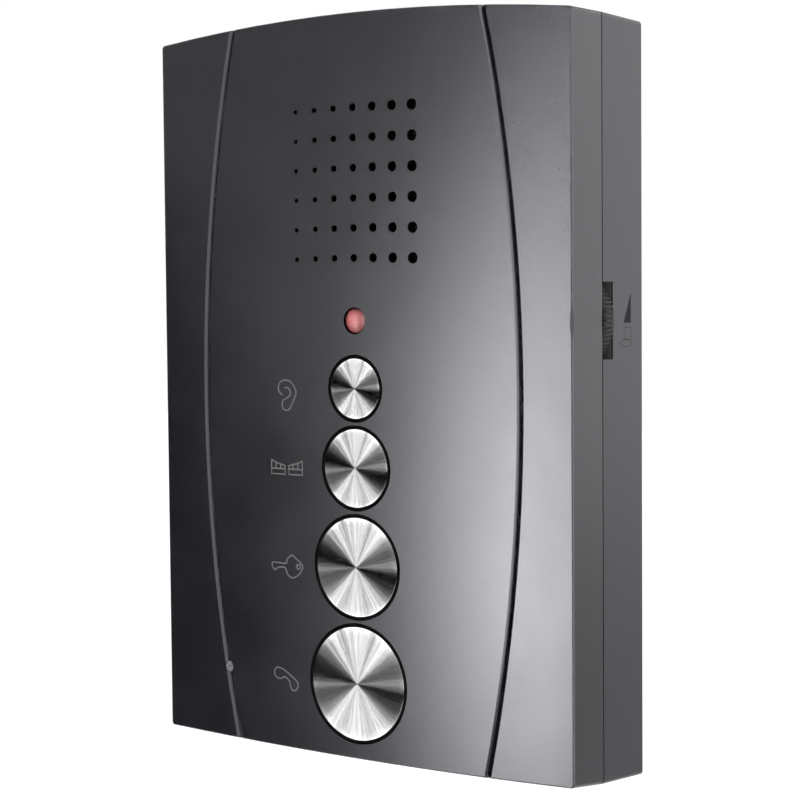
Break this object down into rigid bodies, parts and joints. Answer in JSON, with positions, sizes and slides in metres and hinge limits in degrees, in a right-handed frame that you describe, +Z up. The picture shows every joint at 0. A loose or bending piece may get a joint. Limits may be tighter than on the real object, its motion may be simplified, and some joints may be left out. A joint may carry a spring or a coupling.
{
  "type": "wall intercom station",
  "caption": "Slim wall intercom station with an arched top, dotted speaker grille, status lamp, round metal push buttons that grow downwards and a side thumbwheel.",
  "frame": {"origin": "middle of the rear face, on the wall", "axes": "+X to the right of the person in front, +Y into the wall, +Z up"},
  "size_m": [0.1057, 0.0269, 0.1567],
  "materials": {
    "graphite_shell": "fine-textured satin",
    "rear_shell": "fine-textured satin",
    "spun_metal": "spun, with fine rings",
    "black_plastic": "smooth matt",
    "wheel_plastic": "ribbed matt",
    "stem_plastic": "smooth",
    "red_lens": "diffused lens",
    "grey_rubber": "matt",
    "steel": "zinc plated",
    "bare_aluminium": "bare",
    "brass_pins": "tinned",
    "copper_wire": "enamelled winding",
    "ferrite": "ground",
    "cone_paper": "pressed",
    "black_cloth": "open weave",
    "tab_board": "laminate",
    "red_sleeve": "soft sleeve",
    "green_board": "lacquered laminate",
    "terminal_plastic": "moulded",
    "capacitor_can": "shrink sleeve"
  },
  "bodies": {
    "station": {"front_cover": "graphite_shell", "rear_base": "rear_shell", "case_screws": "steel", "grille_cloth": "black_cloth", "speaker_gasket": "black_cloth", "speaker_frame": "steel", "speaker_cone": "cone_paper", "speaker_dust_cap": "cone_paper", "voice_coil": "copper_wire", "speaker_magnet": "ferrite", "speaker_yoke": "steel", "speaker_tabs": "tab_board", "speaker_leads": "red_sleeve", "speaker_washers": "steel", "speaker_screws": "steel", "circuit_board": "green_board", "board_screws": "steel", "status_lamp": "red_lens", "lamp_legs": "brass_pins", "mic_boot": "grey_rubber", "mic_capsule": "bare_aluminium", "mic_pins": "brass_pins", "switch_bodies": "black_plastic", "switch_plates": "steel", "volume_pot": "black_plastic", "pot_pins": "brass_pins", "terminal_block": "terminal_plastic", "terminal_screws": "steel", "terminal_pins": "brass_pins", "amplifier_chip": "black_plastic", "chip_legs": "brass_pins", "capacitors": "capacitor_can", "resistors": "black_plastic"},
    "listen_button": {"listen_cap": "spun_metal", "listen_carrier": "black_plastic", "listen_stem": "stem_plastic"},
    "gate_button": {"gate_cap": "spun_metal", "gate_carrier": "black_plastic", "gate_stem": "stem_plastic"},
    "door_button": {"door_cap": "spun_metal", "door_carrier": "black_plastic", "door_stem": "stem_plastic"},
    "talk_button": {"talk_cap": "spun_metal", "talk_carrier": "black_plastic", "talk_stem": "stem_plastic"},
    "volume_dial": {"volume_wheel": "wheel_plastic", "volume_shaft": "brass_pins", "wheel_screw": "steel"}
  },
  "joints": [
    {"name": "listen_press", "type": "slide", "parent": "station", "child": "listen_button", "axis": [0, 1, 0], "range_m": [0, 0.0008], "stiffness_N_per_m": 400},
    {"name": "gate_press", "type": "slide", "parent": "station", "child": "gate_button", "axis": [0, 1, 0], "range_m": [0, 0.0008], "stiffness_N_per_m": 400},
    {"name": "door_press", "type": "slide", "parent": "station", "child": "door_button", "axis": [0, 1, 0], "range_m": [0, 0.0008], "stiffness_N_per_m": 400},
    {"name": "talk_press", "type": "slide", "parent": "station", "child": "talk_button", "axis": [0, 1, 0], "range_m": [0, 0.0008], "stiffness_N_per_m": 400},
    {"name": "volume_turn", "type": "hinge", "parent": "station", "child": "volume_dial", "pos_m": [0.0427, -0.0133, 0.0152], "axis": [0, 1, 0], "range_deg": [-130, 130]}
  ]
}
